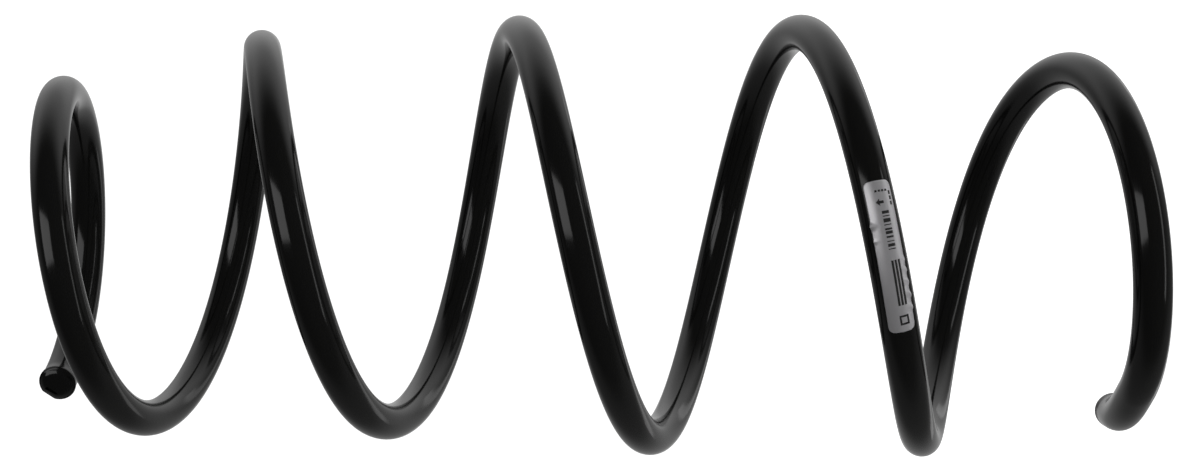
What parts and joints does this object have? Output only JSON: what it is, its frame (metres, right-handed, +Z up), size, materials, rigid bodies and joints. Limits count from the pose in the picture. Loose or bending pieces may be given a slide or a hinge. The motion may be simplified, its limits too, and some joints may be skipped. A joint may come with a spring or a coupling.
{
  "type": "suspension coil spring",
  "caption": "Cold-wound helical compression spring for a suspension strut: round bar, narrow end coils, wider working coils, gloss black coat and a foil label.",
  "frame": {"origin": "centre of the lower seat plane, on the coil axis", "axes": "+Z up the coil axis, from the lower end coil to the upper one; -Y towards the side that carries the label"},
  "size_m": [0.1529, 0.1541, 0.3888],
  "materials": {
    "coated_bar": "gloss black powder coat over phosphated spring steel",
    "label_foil": "satin silver foil with black print"
  },
  "bodies": {
    "lower_end_coil": {"lower_end_turn_a": "coated_bar", "lower_end_turn_b": "coated_bar"},
    "lower_end_turn_c": {"lower_end_turn_c": "coated_bar"},
    "lower_end_turn_d": {"lower_end_turn_d": "coated_bar"},
    "working_turn_1_a": {"working_turn_1_a": "coated_bar"},
    "working_turn_1_b": {"working_turn_1_b": "coated_bar", "label": "label_foil"},
    "working_turn_1_c": {"working_turn_1_c": "coated_bar"},
    "working_turn_1_d": {"working_turn_1_d": "coated_bar"},
    "working_turn_2_a": {"working_turn_2_a": "coated_bar"},
    "working_turn_2_b": {"working_turn_2_b": "coated_bar"},
    "working_turn_2_c": {"working_turn_2_c": "coated_bar"},
    "working_turn_2_d": {"working_turn_2_d": "coated_bar"},
    "working_turn_3_a": {"working_turn_3_a": "coated_bar"},
    "working_turn_3_b": {"working_turn_3_b": "coated_bar"},
    "working_turn_3_c": {"working_turn_3_c": "coated_bar"},
    "working_turn_3_d": {"working_turn_3_d": "coated_bar"},
    "upper_end_turn_a": {"upper_end_turn_a": "coated_bar"},
    "upper_end_turn_b": {"upper_end_turn_b": "coated_bar"},
    "upper_end_coil": {"upper_end_turn_c": "coated_bar", "upper_end_turn_d": "coated_bar"}
  },
  "joints": [
    {"name": "compression", "type": "slide", "parent": "lower_end_coil", "child": "upper_end_coil", "axis": [0, 0, 1], "range_m": [-0.16, 0], "stiffness_N_per_m": 25000},
    {"name": "lower_end_turn_c_travel", "type": "slide", "parent": "lower_end_coil", "child": "lower_end_turn_c", "axis": [0, 0, 1], "range_m": [-0.0018, 0.0001]},
    {"name": "lower_end_turn_d_travel", "type": "slide", "parent": "lower_end_coil", "child": "lower_end_turn_d", "axis": [0, 0, 1], "range_m": [-0.0074, 0.0001]},
    {"name": "working_turn_1_a_travel", "type": "slide", "parent": "lower_end_coil", "child": "working_turn_1_a", "axis": [0, 0, 1], "range_m": [-0.0151, 0.0001]},
    {"name": "working_turn_1_b_travel", "type": "slide", "parent": "lower_end_coil", "child": "working_turn_1_b", "axis": [0, 0, 1], "range_m": [-0.0243, 0.0001]},
    {"name": "working_turn_1_c_travel", "type": "slide", "parent": "lower_end_coil", "child": "working_turn_1_c", "axis": [0, 0, 1], "range_m": [-0.036, 0.0001]},
    {"name": "working_turn_1_d_travel", "type": "slide", "parent": "lower_end_coil", "child": "working_turn_1_d", "axis": [0, 0, 1], "range_m": [-0.0502, 0.0001]},
    {"name": "working_turn_2_a_travel", "type": "slide", "parent": "lower_end_coil", "child": "working_turn_2_a", "axis": [0, 0, 1], "range_m": [-0.0654, 0.0001]},
    {"name": "working_turn_2_b_travel", "type": "slide", "parent": "lower_end_coil", "child": "working_turn_2_b", "axis": [0, 0, 1], "range_m": [-0.0806, 0.0001]},
    {"name": "working_turn_2_c_travel", "type": "slide", "parent": "lower_end_coil", "child": "working_turn_2_c", "axis": [0, 0, 1], "range_m": [-0.0953, 0.0001]},
    {"name": "working_turn_2_d_travel", "type": "slide", "parent": "lower_end_coil", "child": "working_turn_2_d", "axis": [0, 0, 1], "range_m": [-0.109, 0.0001]},
    {"name": "working_turn_3_a_travel", "type": "slide", "parent": "lower_end_coil", "child": "working_turn_3_a", "axis": [0, 0, 1], "range_m": [-0.122, 0.0001]},
    {"name": "working_turn_3_b_travel", "type": "slide", "parent": "lower_end_coil", "child": "working_turn_3_b", "axis": [0, 0, 1], "range_m": [-0.1337, 0.0001]},
    {"name": "working_turn_3_c_travel", "type": "slide", "parent": "lower_end_coil", "child": "working_turn_3_c", "axis": [0, 0, 1], "range_m": [-0.1436, 0.0001]},
    {"name": "working_turn_3_d_travel", "type": "slide", "parent": "lower_end_coil", "child": "working_turn_3_d", "axis": [0, 0, 1], "range_m": [-0.1515, 0.0001]},
    {"name": "upper_end_turn_a_travel", "type": "slide", "parent": "lower_end_coil", "child": "upper_end_turn_a", "axis": [0, 0, 1], "range_m": [-0.1565, 0.0001]},
    {"name": "upper_end_turn_b_travel", "type": "slide", "parent": "lower_end_coil", "child": "upper_end_turn_b", "axis": [0, 0, 1], "range_m": [-0.159, 0.0001]}
  ],
  "couplings": [
    {"joint": "lower_end_turn_c_travel", "follows": "compression", "ratio": 0.0106},
    {"joint": "lower_end_turn_d_travel", "follows": "compression", "ratio": 0.0452},
    {"joint": "working_turn_1_a_travel", "follows": "compression", "ratio": 0.0936},
    {"joint": "working_turn_1_b_travel", "follows": "compression", "ratio": 0.1512},
    {"joint": "working_turn_1_c_travel", "follows": "compression", "ratio": 0.2243},
    {"joint": "working_turn_1_d_travel", "follows": "compression", "ratio": 0.3126},
    {"joint": "working_turn_2_a_travel", "follows": "compression", "ratio": 0.4078},
    {"joint": "working_turn_2_b_travel", "follows": "compression", "ratio": 0.5028},
    {"joint": "working_turn_2_c_travel", "follows": "compression", "ratio": 0.5945},
    {"joint": "working_turn_2_d_travel", "follows": "compression", "ratio": 0.6806},
    {"joint": "working_turn_3_a_travel", "follows": "compression", "ratio": 0.7614},
    {"joint": "working_turn_3_b_travel", "follows": "compression", "ratio": 0.8344},
    {"joint": "working_turn_3_c_travel", "follows": "compression", "ratio": 0.8968},
    {"joint": "working_turn_3_d_travel", "follows": "compression", "ratio": 0.946},
    {"joint": "upper_end_turn_a_travel", "follows": "compression", "ratio": 0.9769},
    {"joint": "upper_end_turn_b_travel", "follows": "compression", "ratio": 0.9926}
  ]
}
